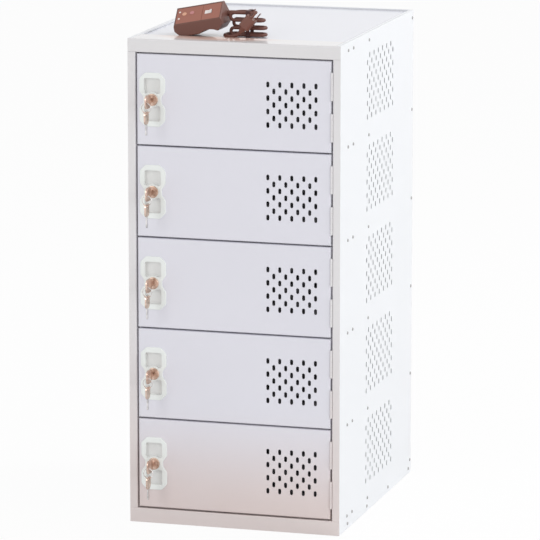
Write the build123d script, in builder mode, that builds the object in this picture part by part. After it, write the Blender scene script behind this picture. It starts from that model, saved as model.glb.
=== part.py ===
"""Laptop charging locker: a steel cabinet with five keyed doors, and its outlet strip on top.

The frame of the model is the cabinet's own: X to the right, Y to the back, Z up, in millimetres.
The origin is the middle of the cabinet's footprint, on the floor. Depths from the front are
written as a distance behind the front face, and places along the front as a distance from its
middle, so that every piece follows the cabinet when it is made wider, deeper or taller.
"""

import os
from math import atan2, cos, pi, radians, sin, tan

from build123d import *

os.makedirs("parts", exist_ok=True)

# Cabinet
cabinet_width = 406.0
cabinet_depth = 533.0
cabinet_height = 914.0
body_sheet = 1.2
frame_sheet = 1.5
fit_gap = 0.3
seat_gap = 0.1

# Front frame
stile_width = 14.5
top_rail_height = 25.0
bottom_rail_height = 27.0
frame_bend = 3.0
rail_bend = 1.2
frame_return = 18.0
stop_width = 12.5
rail_stop_width = 9.0
top_rail_cover = 60.0
side_lap = 20.0
stile_lap = 14.0

# Rims and flanges of the body panels
top_recess = 3.0
rim_width = 8.0
rear_flange = 15.0
panel_flange = 20.0
pan_flange = 14.0
top_panel_bend = 1.0

# Doors
door_count = 5
door_gap = 3.0
door_sheet = 1.2
door_depth = 15.0
door_bend = 3.0
door_return = 12.0
door_swing = 115.0

# Vent slots of the doors and the side panels
slot_length = 10.7
slot_width = 5.9
door_vent_columns = 5
door_vent_rows = 4
door_vent_column_pitch = 22.8
door_vent_row_pitch = 24.9
door_vent_from_hinge_edge = 74.2
side_vent_columns = 7
side_vent_rows = 5
side_vent_column_pitch = 30.9
side_vent_row_pitch = 25.6
side_vent_from_front = 283.5
side_vent_above_shelf = 86.0

# Shelves, the lowest of which is the floor of the bottom compartment
shelf_pitch = 174.0
lowest_rivet_height = 25.5
shelf_above_rivet = 8.0
shelf_lip = 22.0
shelf_flange = 16.0

# Rivets
rivet_radius = 2.0
rivet_head_radius = 3.4
rivet_head_height = 1.5
rivet_head_taper = 35.0
rivet_tail_radius = 2.8
rivet_play = 0.05
top_rivet_height = 899.7
pan_rivet_height = 10.0
rivet_places = (54.0, 90.0, 201.0, 523.0)
pan_rivet_places = (58.0, 198.0, 355.0, 512.0)

# Cable holes in the back and their rubber grommets
cable_hole_radius = 16.0
grommet_wall = 3.0
grommet_lip = 4.0
grommet_lip_thickness = 2.0
grommet_round = 0.8
cable_hole_from_side = 70.0
cable_hole_above_shelf = 55.0

# Anchor holes in the bottom pan
anchor_hole_radius = 4.5
anchor_spacing_x = 300.0
anchor_spacing_y = 400.0

# Hinges
hinge_length = 50.0
hinge_offset = 38.0
knuckle_count = 5
knuckle_gap = 0.3
barrel_radius = 2.2
barrel_proud = 0.3
pin_radius = 1.3
pin_play = 0.05
pin_cap_radius = 1.9
pin_cap_height = 1.0
leaf_sheet = 1.0
leaf_depth = 14.0
leaf_clearance = 0.5

# Recessed pull plates
plate_width = 50.0
plate_height = 100.4
plate_proud = 2.2
plate_corner = 11.0
plate_waist_width = 35.0
plate_waist_flat = 10.0
plate_waist_height = 31.0
plate_round = 8.0
plate_edge_round = 1.5
plate_from_lock_edge = 30.2
pocket_width = 32.0
pocket_height = 29.0
pocket_middle = 25.5
pocket_depth = 8.0
pocket_wall = 1.2
pocket_round = 3.8
pocket_floor_round = 1.5
lock_boss_radius = 14.0

# Locks
lock_barrel_radius = 9.5
lock_collar_radius = 11.2
lock_collar_height = 2.6
lock_collar_round = 1.0
lock_barrel_behind = 17.5
lock_nut_across_flats = 22.0
lock_nut_height = 4.0
lock_plug_radius = 6.5
lock_play = 0.05
lock_plug_proud = 0.6
lock_plug_round = 0.5
tail_side = 7.0
tail_length = 4.5
tail_past_cam = 0.9
cam_thickness = 2.0
cam_reach = 27.0
cam_width = 13.0
cam_arm_width = 10.0
cam_gap = 0.9
cam_screw_radius = 1.5
cam_screw_head_radius = 4.0
cam_screw_head_height = 2.0

# Keys
key_blade_thickness = 2.0
key_blade_height = 8.4
key_blade_in_lock = 18.0
key_end_gap = 1.0
key_neck = 8.0
key_play = 0.15
bow_length = 30.0
bow_height = 25.0
bow_thickness = 2.6
bow_round = 8.0
key_hole_radius = 2.6
key_hole_from_end = 6.0
spare_bow_length = 25.0
spare_bow_height = 22.0
spare_blade_length = 21.0
spare_blade_height = 7.6
ring_radius = 9.0
ring_wire_radius = 0.8
ring_play = 0.12

# Outlet strip, which lies on the top panel and leans up on its own cord
strip_from_left = 73.0
strip_from_front = 62.5
strip_turn = 0.0
strip_tilt = 10.9
strip_length = 93.0
strip_front_height = 23.0
strip_face_width = 47.0
strip_face_slope = 35.0
strip_back_run = 23.0
strip_back_height = 28.2
strip_ridge_flat = 3.0
strip_end_bevel = 2.0
strip_foot_bevel = 11.0
# Shallow arch across the underside
strip_arch_place = 65.0
strip_arch_height = 5.5
strip_arch_radius = 35.0
strip_edge_round = 1.5
strip_face_sheet = 1.6
strip_face_margin = 3.0
strip_face_end_margin = 3.5
strip_face_round = 2.0
strip_seam_place = 54.0
strip_seam_width = 0.8
strip_seam_depth = 0.8
strip_socket_width = 24.0
strip_socket_margin = 3.0
strip_socket_round = 3.0
strip_socket_hole_depth = 8.0
strip_socket_play = 0.3
strip_socket_recess = 1.5
strip_socket_pitch = 29.0
strip_socket_count = 3
strip_clearance = 0.1
switch_length = 13.0
switch_width = 9.0
switch_proud = 2.0
switch_depth = 6.0
switch_throw = 14.0
switch_place = 66.0
switch_well_margin = 1.0
switch_well_depth = 11.0
rocker_end_drop = 0.8
rocker_middle_drop = 2.0
rocker_taper = 1.5
lamp_radius = 2.2
button_radius = 4.4
lamp_proud = 0.8
lens_round = 0.5
lamp_places = ((8.5, 16.0), (8.5, 34.0))
button_places = ((18.2, 27.5), (33.0, 28.0))

# Cord of the strip: a short lead, a hank of four long fingers, a tail and a moulded plug
cord_diameter = 6.2
relief_length = 14.0
relief_base_radius = 5.6
relief_tip_wall = 0.5
lead_rise_run = 10.0
lead_level_run = 9.6
lead_from_strip = 28.2
hank_from_strip = 13.2
hank_from_strip_front = 29.3
hank_depth = 20.7
# Each finger's height over the top panel, and how far its straight runs reach past the strip
finger_heights = (45.0, 31.0, 17.0, 4.5)
finger_reaches = (41.0, 57.0, 60.5, 60.5)
tie_width = 7.0
tie_sheet = 1.0
tie_clearance = 0.25
tie_from_strip = 36.5
tie_round = 1.2
# The tail's corners: past the strip's end, behind its front edge, and over the top panel
tail_corners = (
    (11.5, 50.0, 4.5),
    (1.5, 45.5, 4.2),
    (-3.3, 34.5, 3.9),
    (-3.5, 21.5, 3.6),
    (2.0, 11.8, 3.4),
    (12.0, 8.4, 3.4),
    (20.5, 8.5, 4.4),
    (26.7, 8.8, 7.6),
)
tail_last_run = 5.5
plug_length = 23.0
plug_width = 20.5
plug_thickness = 22.0
plug_neck_length = 12.0
plug_neck_radius = 3.5
plug_neck_end_radius = 7.5
plug_round = 5.0
plug_lift = 50.0
plug_lean = 6.0
blade_length = 15.5
blade_width = 6.3
blade_thickness = 1.5
blade_spacing = 12.7
blade_above_middle = 5.0
ground_pin_radius = 2.4
ground_pin_below_blades = 11.9

# Faces and edges that several pieces share
front = -cabinet_depth / 2
back = cabinet_depth / 2
left = -cabinet_width / 2
right = cabinet_width / 2
opening_bottom = bottom_rail_height
opening_top = cabinet_height - top_rail_height
door_width = cabinet_width - 2 * stile_width - 2 * door_gap
door_height = (opening_top - opening_bottom - (door_count + 1) * door_gap) / door_count
door_pitch = door_height + door_gap
door_left = left + stile_width + door_gap
door_right = door_left + door_width
stop_back = front + frame_return
stop_front = stop_back - frame_sheet
shelf_front = stop_back + fit_gap
shelf_back = back - 2 * body_sheet - fit_gap
inner_left = left + body_sheet + fit_gap
inner_right = right - body_sheet - fit_gap
top_surface = cabinet_height - top_recess
hinge_axis = (door_right + door_gap / 2, front - barrel_proud)
rivet_heights = [lowest_rivet_height + i * shelf_pitch for i in range(door_count)]
side_rivets = [(y, z) for z in rivet_heights + [top_rivet_height] for y in rivet_places]
pan_rivets = [(y, pan_rivet_height) for y in pan_rivet_places]


def save(piece, label):
    """Names a finished piece and writes it under that name."""
    piece.label = label
    export_step(piece, f"parts/{label}.step")


def block(x, y, z, mode=Mode.ADD):
    """Adds or cuts the block between three pairs of limits."""
    with Locations(((x[0] + x[1]) / 2, (y[0] + y[1]) / 2, (z[0] + z[1]) / 2)):
        Box(x[1] - x[0], y[1] - y[0], z[1] - z[0], mode=mode)


def rod(start, direction, radius, length, mode=Mode.ADD):
    """Adds or cuts a round rod that leaves a point in a direction."""
    with BuildSketch(Plane(origin=start, z_dir=direction)) as end:
        Circle(radius)
    extrude(end.sketch, amount=length, mode=mode)


def edges_at(axis, value):
    """The current part's edges that lie wholly in the plane across an axis at a value."""
    return edges().filter_by_position(axis, value - 0.01, value + 0.01)


def door_middle(number):
    """Height of the middle of a door, counted from 1 at the top."""
    return opening_top - door_gap - door_height / 2 - (number - 1) * door_pitch


# Front frame: two stiles between two rails, each folded from sheet with a stop for the doors
def stile_profile(side):
    """Outline of a stile seen from above. side is -1 for the left one and 1 for the right."""
    outer = side * cabinet_width / 2
    inner = outer - side * stile_width

    def strip(x0, x1, y0, y1):
        with Locations(((x0 + x1) / 2, (y0 + y1) / 2)):
            Rectangle(abs(x1 - x0), abs(y1 - y0))

    lap = outer - side * (body_sheet + fit_gap)
    strip(outer, inner, front, front + frame_sheet)
    strip(inner, inner + side * frame_sheet, front, stop_back)
    strip(inner + side * frame_sheet, inner - side * stop_width, stop_front, stop_back)
    strip(lap, lap - side * frame_sheet, front, front + stile_lap)
    corner = vertices().sort_by_distance((inner, front))[0]
    fillet(corner, frame_bend)


with BuildPart() as front_frame:
    for side in (-1, 1):
        with BuildSketch(Plane.XY.offset(opening_bottom)):
            stile_profile(side)
        extrude(amount=opening_top - opening_bottom)
    rail_ends = (left, right)
    stop_ends = (left + stile_width + stop_width + fit_gap, right - stile_width - stop_width - fit_gap)
    between_sides = (inner_left, inner_right)
    for edge, outer, up in ((opening_top, cabinet_height, 1), (opening_bottom, 0.0, -1)):
        sheet_edge = edge + up * frame_sheet
        cap_depth = front + (top_rail_cover if up > 0 else side_lap)
        cap_ends = between_sides if up < 0 else (left + rim_width + fit_gap, right - rim_width - fit_gap)
        with BuildPart(mode=Mode.PRIVATE) as rail:
            block(rail_ends, (front, front + frame_sheet), sorted((edge, outer)))
            block(between_sides, (front, stop_back), sorted((edge, sheet_edge)))
            block(cap_ends, (front, cap_depth), sorted((outer, outer - up * frame_sheet)))
            block(stop_ends, (stop_front, stop_back), sorted((edge - up * rail_stop_width, edge)))
            long_edges = rail.edges().filter_by(Axis.X).sort_by(Axis.Y)
            bend = [e for e in long_edges if abs(e.center().Z - edge) < 0.01 and e.center().Y < front + 0.01]
            fillet(bend, rail_bend)
        add(rail.part)
save(front_frame.part, "front_frame")


# Body panels
def cut_rivet_holes(places, x):
    """Cuts the rivet holes through a flange whose outer face is at x."""
    with BuildSketch(Plane.YZ.offset(x)) as holes:
        with Locations(*places):
            Circle(rivet_radius + rivet_play)
    extrude(holes.sketch, amount=2 * body_sheet, both=True, mode=Mode.SUBTRACT)


def from_front(places):
    """Turns distances behind the front face into the model's own Y."""
    return [(front + y, z) for y, z in places]


def cut_side_vents(x):
    """Cuts the staggered slots of every compartment through a side panel."""
    middle = front + side_vent_from_front
    places = []
    for rivet_z in rivet_heights:
        for raised, columns in ((0, side_vent_columns), (side_vent_row_pitch / 2, side_vent_columns - 1)):
            y0 = middle - (columns - 1) * side_vent_column_pitch / 2
            z0 = rivet_z + side_vent_above_shelf + raised - (side_vent_rows - 1) * side_vent_row_pitch / 2
            places += [
                (y0 + column * side_vent_column_pitch, z0 + row * side_vent_row_pitch)
                for column in range(columns)
                for row in range(side_vent_rows)
            ]
    with BuildSketch(Plane.YZ.offset(x)) as slots:
        with Locations(*places):
            SlotOverall(slot_length, slot_width, rotation=90)
    extrude(slots.sketch, amount=2 * body_sheet, both=True, mode=Mode.SUBTRACT)


with BuildPart() as side_panel:
    panel_y = (front + frame_sheet + fit_gap, back - body_sheet)
    block((left, left + body_sheet), panel_y, (0, cabinet_height))
    block((left, left + rim_width), panel_y, (top_surface + fit_gap, cabinet_height))
    block(
        (left, left + rear_flange),
        (back - 2 * body_sheet, back - body_sheet),
        (body_sheet + fit_gap, top_surface - body_sheet - fit_gap),
    )
    cut_side_vents(left)
    cut_rivet_holes(from_front(side_rivets + pan_rivets), left)
save(side_panel.part, "side_panel_left")
save(side_panel.part.mirror(Plane.YZ), "side_panel_right")

with BuildPart() as top_panel:
    top_y = (front + side_lap + fit_gap, back - 2 * body_sheet - fit_gap)
    top_x = (inner_left, inner_right)
    under = top_surface - body_sheet
    block(top_x, top_y, (under, top_surface))
    for x in (inner_left, inner_right - body_sheet):
        block((x, x + body_sheet), top_y, (under - panel_flange, under))
    block(top_x, (top_y[0], top_y[0] + body_sheet), (under - panel_flange, under))
    fillet(edges().filter_by(Axis.Y).group_by(Axis.Z)[-1], top_panel_bend)
    top_holes = [(front + y, top_rivet_height) for y in rivet_places]
    cut_rivet_holes(top_holes, inner_left)
    cut_rivet_holes(top_holes, inner_right)
save(top_panel.part, "top_panel")

with BuildPart() as bottom_pan:
    pan_y = (front + side_lap + fit_gap, back - 2 * body_sheet - fit_gap)
    pan_x = (inner_left, inner_right)
    flange_z = (0, pan_flange)
    block(pan_x, pan_y, (0, body_sheet))
    for x in (inner_left, inner_right - body_sheet):
        block((x, x + body_sheet), pan_y, flange_z)
    for y in (pan_y[0], pan_y[1] - body_sheet):
        block(pan_x, (y, y + body_sheet), flange_z)
    pan_holes = from_front(pan_rivets)
    cut_rivet_holes(pan_holes, inner_left)
    cut_rivet_holes(pan_holes, inner_right)
    with BuildSketch(Plane.XY):
        with GridLocations(anchor_spacing_x, anchor_spacing_y, 2, 2):
            Circle(anchor_hole_radius)
    extrude(amount=body_sheet, mode=Mode.SUBTRACT)
save(bottom_pan.part, "bottom_pan")

cable_x = left + cable_hole_from_side
cable_holes = [(cable_x, z + shelf_above_rivet + cable_hole_above_shelf) for z in rivet_heights]

with BuildPart() as back_panel:
    block((left, right), (back - body_sheet, back), (0, cabinet_height))
    with BuildSketch(Plane.XZ.offset(-back)):
        with Locations(*cable_holes):
            Circle(cable_hole_radius)
    extrude(amount=2 * body_sheet, both=True, mode=Mode.SUBTRACT)
save(back_panel.part, "back_panel")

with BuildPart() as cable_grommets:
    lip_radius = cable_hole_radius + grommet_lip
    neck_radius = cable_hole_radius - fit_gap / 2
    bore_radius = cable_hole_radius - grommet_wall
    wall_y = (back - body_sheet - fit_gap / 2, back + fit_gap / 2)
    for x, z in cable_holes:
        with BuildPart(mode=Mode.PRIVATE) as grommet:
            with BuildSketch(Plane.XY):
                Polygon(
                    (bore_radius, -grommet_lip_thickness),
                    (lip_radius, -grommet_lip_thickness),
                    (lip_radius, 0),
                    (neck_radius, 0),
                    (neck_radius, wall_y[1] - wall_y[0]),
                    (lip_radius, wall_y[1] - wall_y[0]),
                    (lip_radius, wall_y[1] - wall_y[0] + grommet_lip_thickness),
                    (bore_radius, wall_y[1] - wall_y[0] + grommet_lip_thickness),
                    align=None,
                )
            revolve(axis=Axis.Y)
            fillet(edges_at(Axis.Y, wall_y[1] - wall_y[0] + grommet_lip_thickness), grommet_round)
        add(grommet.part.moved(Location((x, wall_y[0], z))))
save(cable_grommets.part, "cable_grommets")

with BuildPart() as shelves:
    for rivet_z in rivet_heights:
        shelf_top = rivet_z + shelf_above_rivet
        shelf_x = (inner_left, inner_right)
        shelf_y = (shelf_front, shelf_back)
        block(shelf_x, shelf_y, (shelf_top - body_sheet, shelf_top))
        for x in (inner_left, inner_right - body_sheet):
            block((x, x + body_sheet), shelf_y, (shelf_top - shelf_flange, shelf_top))
        block(shelf_x, (shelf_front, shelf_front + body_sheet), (shelf_top - shelf_lip, shelf_top))
    shelf_holes = [(front + y, z) for z in rivet_heights for y in rivet_places]
    cut_rivet_holes(shelf_holes, inner_left)
    cut_rivet_holes(shelf_holes, inner_right)
save(shelves.part, "shelves")

with BuildPart() as rivets:
    grip = 2 * body_sheet + fit_gap
    for side in (-1, 1):
        outside = Plane(origin=(side * cabinet_width / 2, 0, 0), x_dir=(0, side, 0), z_dir=(side, 0, 0))
        inner_face = outside.offset(-grip - seat_gap).origin
        inside = Plane(origin=inner_face, x_dir=(0, -side, 0), z_dir=(-side, 0, 0))
        places = from_front(side_rivets + pan_rivets)
        with BuildSketch(outside):
            with Locations(*[(side * y, z) for y, z in places]):
                Circle(rivet_radius)
        extrude(amount=-grip - fit_gap)
        with BuildSketch(outside):
            with Locations(*[(side * y, z) for y, z in places]):
                Circle(rivet_head_radius)
        extrude(amount=rivet_head_height, taper=rivet_head_taper)
        with BuildSketch(inside):
            with Locations(*[(-side * y, z) for y, z in places]):
                Circle(rivet_tail_radius)
        extrude(amount=rivet_head_height - fit_gap)
save(rivets.part, "rivets")


# Hinges: five knuckles to each, three on the frame's leaf and two on the door's
knuckle_length = (hinge_length - (knuckle_count - 1) * knuckle_gap) / knuckle_count


def hinge_bottoms(middle):
    """Heights at which the lower ends of a door's two hinges stand, from the door's middle."""
    return [middle + place - hinge_length / 2 for place in (-hinge_offset, hinge_offset)]


def hinge_leaf(bottom, side, first):
    """Adds a leaf and its knuckles. side is -1 for the door's leaf, and 1 for the frame's."""
    axis_x, axis_y = hinge_axis
    outer = axis_x + side * door_gap / 2
    leaf_x = sorted((outer, outer - side * leaf_sheet))
    leaf_front = axis_y + barrel_radius + leaf_clearance
    block(leaf_x, (leaf_front, front + leaf_depth), (bottom, bottom + hinge_length))
    for i in range(first, knuckle_count, 2):
        low = bottom + i * (knuckle_length + knuckle_gap)
        block(leaf_x, (axis_y, leaf_front), (low, low + knuckle_length))
        rod((axis_x, axis_y, low), (0, 0, 1), barrel_radius, knuckle_length)
    rod((axis_x, axis_y, bottom), (0, 0, 1), pin_radius + pin_play, hinge_length, Mode.SUBTRACT)


with BuildPart() as frame_hinge_leaves:
    for number in range(1, door_count + 1):
        for bottom in hinge_bottoms(door_middle(number)):
            hinge_leaf(bottom, 1, 0)
save(frame_hinge_leaves.part, "frame_hinge_leaves")

with BuildPart() as hinge_pins:
    for number in range(1, door_count + 1):
        for bottom in hinge_bottoms(door_middle(number)):
            foot = (hinge_axis[0], hinge_axis[1], bottom - pin_play)
            rod(foot, (0, 0, 1), pin_radius, hinge_length + 2 * pin_play)
            rod(foot, (0, 0, -1), pin_cap_radius, pin_cap_height)
            head = (foot[0], foot[1], bottom + hinge_length + pin_play)
            rod(head, (0, 0, 1), pin_cap_radius, pin_cap_height)
save(hinge_pins.part, "hinge_pins")


# Doors and what each one carries, shown with the middle of the door at no height
lock_x = door_left + plate_from_lock_edge
key_reach = key_neck + bow_length - key_hole_from_end
plate_front = front - plate_proud
collar_front = plate_front - seat_gap - lock_collar_height
plug_front = collar_front - lock_plug_proud
barrel_back = front + lock_barrel_behind
cam_front = barrel_back + cam_gap
cam_back = cam_front + cam_thickness
key_hole_y = plug_front - key_reach


def plate_outline():
    """Adds the pull plate's outline: two rounded squares that meet at a waist."""
    wide, tall = plate_width / 2, plate_height / 2
    waist, flat, slope = plate_waist_width / 2, plate_waist_flat / 2, plate_waist_height / 2
    quarter = [
        (wide - plate_corner, tall),
        (wide, tall - plate_corner),
        (wide, slope),
        (waist, flat),
    ]
    right_half = quarter + [(x, -z) for x, z in reversed(quarter)]
    Polygon(*right_half, *[(-x, -z) for x, z in right_half], align=None)
    fillet(vertices(), plate_round)


def pocket_faces(grow):
    """Outlines of the two finger pockets about the lock, made larger all round by grow."""
    with BuildSketch() as outline:
        with Locations((0, pocket_middle)):
            Rectangle(pocket_width + 2 * grow, pocket_height + 2 * grow)
        Circle(lock_boss_radius - grow, mode=Mode.SUBTRACT)
        fillet(vertices(), pocket_round + grow)
    upper = outline.face()
    return upper, upper.rotate(Axis.Z, 180)


def make_door():
    """A shallow steel pan with rounded edges, vent slots and an opening for its pull plate."""
    door_x = (door_left, door_right)
    door_z = (-door_height / 2, door_height / 2)
    inside = front + door_sheet
    with BuildPart() as door:
        block(door_x, (front, front + door_depth), door_z)
        fillet(edges_at(Axis.Y, front), door_bend)
        block(
            (door_x[0] + door_sheet, door_x[1] - door_sheet),
            (inside, front + door_depth - door_sheet),
            (door_z[0] + door_sheet, door_z[1] - door_sheet),
            Mode.SUBTRACT,
        )
        fillet(edges_at(Axis.Y, inside), door_bend - door_sheet)
        block(
            (door_x[0] + door_return, door_x[1] - door_return),
            (front + door_depth / 2, front + door_depth),
            (door_z[0] + door_sheet, door_z[1] - door_sheet),
            Mode.SUBTRACT,
        )
        with BuildSketch(Plane.XZ.offset(-front)):
            with Locations((lock_x, 0)):
                for face in pocket_faces(pocket_wall + fit_gap):
                    add(face)
                Circle(lock_boss_radius - pocket_wall + fit_gap)
            vent_x = door_right - door_vent_from_hinge_edge
            with Locations((vent_x, 0)):
                with GridLocations(
                    door_vent_column_pitch, door_vent_row_pitch, door_vent_columns, door_vent_rows
                ):
                    SlotOverall(slot_length, slot_width, rotation=90)
                with GridLocations(
                    door_vent_column_pitch, door_vent_row_pitch, door_vent_columns - 1, door_vent_rows - 1
                ):
                    SlotOverall(slot_length, slot_width, rotation=90)
        extrude(amount=2 * door_sheet, both=True, mode=Mode.SUBTRACT)
    return door.part


def make_door_hinges():
    """The door's own leaves of its two hinges."""
    with BuildPart() as door_hinges:
        for bottom in hinge_bottoms(0):
            hinge_leaf(bottom, -1, 1)
    return door_hinges.part


def make_lock_plate():
    """The stamped pull plate: a raised rim, two finger pockets and a bridge for the lock."""
    with BuildPart() as lock_plate:
        with BuildSketch(Plane.XZ.offset(-front)):
            with Locations((lock_x, 0)):
                add(outline_face)
        extrude(amount=plate_proud)
        fillet(edges_at(Axis.Y, plate_front), plate_edge_round)
        with BuildSketch(Plane.XZ.offset(-front)):
            with Locations((lock_x, 0)):
                for face in pocket_faces(pocket_wall):
                    add(face)
        extrude(amount=-(pocket_depth + pocket_wall - plate_proud))
        with BuildSketch(Plane.XZ.offset(-plate_front)):
            with Locations((lock_x, 0)):
                for face in pocket_faces(0):
                    add(face)
        extrude(amount=-pocket_depth, mode=Mode.SUBTRACT)
        fillet(edges_at(Axis.Y, plate_front + pocket_depth), pocket_floor_round)
        behind_lock = (lock_x, plate_front + pocket_depth, 0)
        rod(behind_lock, (0, -1, 0), lock_barrel_radius + lock_play, 2 * pocket_depth, Mode.SUBTRACT)
    return lock_plate.part


def make_lock_barrel():
    """The lock's fixed barrel with its collar, and the nut that holds it behind the plate."""
    with BuildPart() as lock_barrel:
        rod((lock_x, collar_front, 0), (0, 1, 0), lock_barrel_radius, barrel_back - collar_front)
        rod((lock_x, collar_front, 0), (0, 1, 0), lock_collar_radius, lock_collar_height)
        fillet(edges_at(Axis.Y, collar_front), lock_collar_round)
        bore_length = barrel_back - collar_front
        rod((lock_x, collar_front, 0), (0, 1, 0), lock_plug_radius + lock_play, bore_length, Mode.SUBTRACT)
        with BuildSketch(Plane(origin=(lock_x, front + seat_gap, 0), x_dir=(1, 0, 0), z_dir=(0, 1, 0))):
            RegularPolygon(lock_nut_across_flats / 2, 6, major_radius=False)
            Circle(lock_barrel_radius + lock_play, mode=Mode.SUBTRACT)
        extrude(amount=lock_nut_height)
    return lock_barrel.part


def make_lock_plug():
    """The turning plug, with its keyway in front and a square tail behind for the cam."""
    slot_x = key_blade_thickness / 2 + key_play
    slot_z = key_blade_height / 2 + key_play
    with BuildPart() as lock_plug:
        rod((lock_x, plug_front, 0), (0, 1, 0), lock_plug_radius, barrel_back + cam_gap / 2 - plug_front)
        fillet(edges_at(Axis.Y, plug_front), lock_plug_round)
        half = tail_side / 2
        block((lock_x - half, lock_x + half), (barrel_back, cam_back + tail_past_cam), (-half, half))
        block(
            (lock_x - slot_x, lock_x + slot_x),
            (plug_front, plug_front + key_blade_in_lock + key_end_gap),
            (-slot_z, slot_z),
            Mode.SUBTRACT,
        )
        screw_mouth = (lock_x, cam_back + tail_length, 0)
        rod(screw_mouth, (0, -1, 0), cam_screw_radius + lock_play, 2 * tail_length, Mode.SUBTRACT)
    return lock_plug.part


def make_lock_cam():
    """The flat cam that drops behind the frame's stop, and the screw that holds it."""
    hole = tail_side / 2 + lock_play
    head_front = cam_back + tail_past_cam + seat_gap
    arm_length = cam_reach - cam_arm_width / 3
    with BuildPart() as lock_cam:
        with BuildSketch(Plane(origin=(lock_x, cam_front, 0), x_dir=(1, 0, 0), z_dir=(0, 1, 0))):
            Circle(cam_width / 2)
            with Locations((0, arm_length / 2)):
                Rectangle(cam_arm_width, arm_length)
            with Locations((0, arm_length)):
                SlotOverall(cam_arm_width, 2 * cam_arm_width / 3)
            Rectangle(2 * hole, 2 * hole, mode=Mode.SUBTRACT)
        extrude(amount=cam_thickness)
        rod((lock_x, head_front, 0), (0, 1, 0), cam_screw_head_radius, cam_screw_head_height)
        rod((lock_x, head_front, 0), (0, -1, 0), cam_screw_radius, tail_length)
    return lock_cam.part


def key_shape(tip, heading, bow, blade, hole_place):
    """Adds a flat key in the plane across X. heading points from its tip to its bow."""
    across = Vector(1, 0, 0)
    blade_length, blade_height = blade
    bow_size, bow_width = bow
    tip = Vector(*tip)
    plane = Plane(origin=tip - across * (bow_thickness / 2), x_dir=heading, z_dir=across)
    blade_plane = Plane(origin=tip - across * (key_blade_thickness / 2), x_dir=heading, z_dir=across)
    point = blade_height / 3
    with BuildSketch(blade_plane) as blade_shape:
        Polygon(
            (0, -point / 3),
            (point, -blade_height / 2),
            (blade_length + 1, -blade_height / 2),
            (blade_length + 1, blade_height / 2),
            (point, blade_height / 2),
            (0, point / 3),
            align=None,
        )
    extrude(blade_shape.sketch, amount=key_blade_thickness)
    with BuildSketch(plane) as bow_shape:
        with Locations((blade_length + bow_size / 2, 0)):
            RectangleRounded(bow_size, bow_width, bow_round)
        with Locations((blade_length + hole_place, 0)):
            Circle(key_hole_radius, mode=Mode.SUBTRACT)
    extrude(bow_shape.sketch, amount=bow_thickness)


def make_key():
    """The key that stands in the lock."""
    with BuildPart() as key:
        key_shape(
            (lock_x, plug_front + key_blade_in_lock, 0),
            (0, -1, 0),
            (bow_length, bow_height),
            (key_blade_in_lock + key_neck, key_blade_height),
            bow_length - key_hole_from_end,
        )
    return key.part


def make_key_ring():
    """The split ring through the key's hole, and the spare key that hangs from it."""
    hang = key_hole_radius - ring_wire_radius - ring_play
    ring_z = -hang - ring_radius
    spare_hole_z = ring_z - ring_radius - hang
    spare_tip = spare_hole_z + key_hole_from_end - spare_bow_length - spare_blade_length
    with BuildPart() as key_ring:
        with Locations((lock_x, key_hole_y, ring_z)):
            Torus(ring_radius, ring_wire_radius, rotation=(90, 0, 0))
        key_shape(
            (lock_x, key_hole_y, spare_tip),
            (0, 0, 1),
            (spare_bow_length, spare_bow_height),
            (spare_blade_length, spare_blade_height),
            spare_bow_length - key_hole_from_end,
        )
    return key_ring.part


with BuildSketch() as outline_sketch:
    plate_outline()
outline_face = outline_sketch.face()

door_pieces = {
    "door": make_door(),
    "door_hinges": make_door_hinges(),
    "lock_plate": make_lock_plate(),
    "lock_barrel": make_lock_barrel(),
    "lock_plug": make_lock_plug(),
    "lock_cam": make_lock_cam(),
    "key": make_key(),
    "key_ring": make_key_ring(),
}
for number in range(1, door_count + 1):
    for name, piece in door_pieces.items():
        save(piece.moved(Location((0, 0, door_middle(number)))), f"{name}_{number}")


# Outlet strip: local directions along it, level and tilted. It stands on the edge of its left
# foot bevel, so its lower left front corner is a little lower than the foot.
turn, tilt = radians(strip_turn), radians(strip_tilt)
strip_foot = Vector(left + strip_from_left, front + strip_from_front, top_surface + strip_clearance)
level = Vector(cos(turn), sin(turn), 0)
behind = Vector(-sin(turn), cos(turn), 0)
upward = Vector(0, 0, 1)
along = level * cos(tilt) + upward * sin(tilt)
above = upward * cos(tilt) - level * sin(tilt)
strip_corner = strip_foot - upward * (strip_foot_bevel * sin(tilt))
strip_end_plane = Plane(origin=strip_corner, x_dir=behind, z_dir=along)

slope = radians(strip_face_slope)
ridge = (strip_face_width * cos(slope), strip_front_height + strip_face_width * sin(slope))
strip_width = ridge[0] + strip_back_run


def on_strip(place, across, height):
    """A point of the strip from its length, depth and height along its own directions."""
    return strip_corner + along * place + behind * across + above * height


face_up = above * cos(slope) - behind * sin(slope)
face_rise = behind * cos(slope) + above * sin(slope)
face_plane = Plane(origin=on_strip(0, 0, strip_front_height), x_dir=along, z_dir=face_up)
back_slope = atan2(ridge[1] - strip_back_height, strip_back_run - strip_ridge_flat)
back_fall = behind * cos(back_slope) - above * sin(back_slope)
back_out = behind * sin(back_slope) + above * cos(back_slope)
back_face_length = (strip_back_run - strip_ridge_flat) / cos(back_slope)
back_start = on_strip(strip_length / 2, ridge[0] + strip_ridge_flat, ridge[1])
socket_plane = Plane(origin=back_start + back_fall * (back_face_length / 2), x_dir=along, z_dir=back_out)
face_inset = strip_face_sheet + strip_clearance
face_size = (strip_length - 2 * strip_face_end_margin, strip_face_width - 2 * strip_face_margin)
face_middle = (strip_length / 2, strip_face_width / 2)

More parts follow.
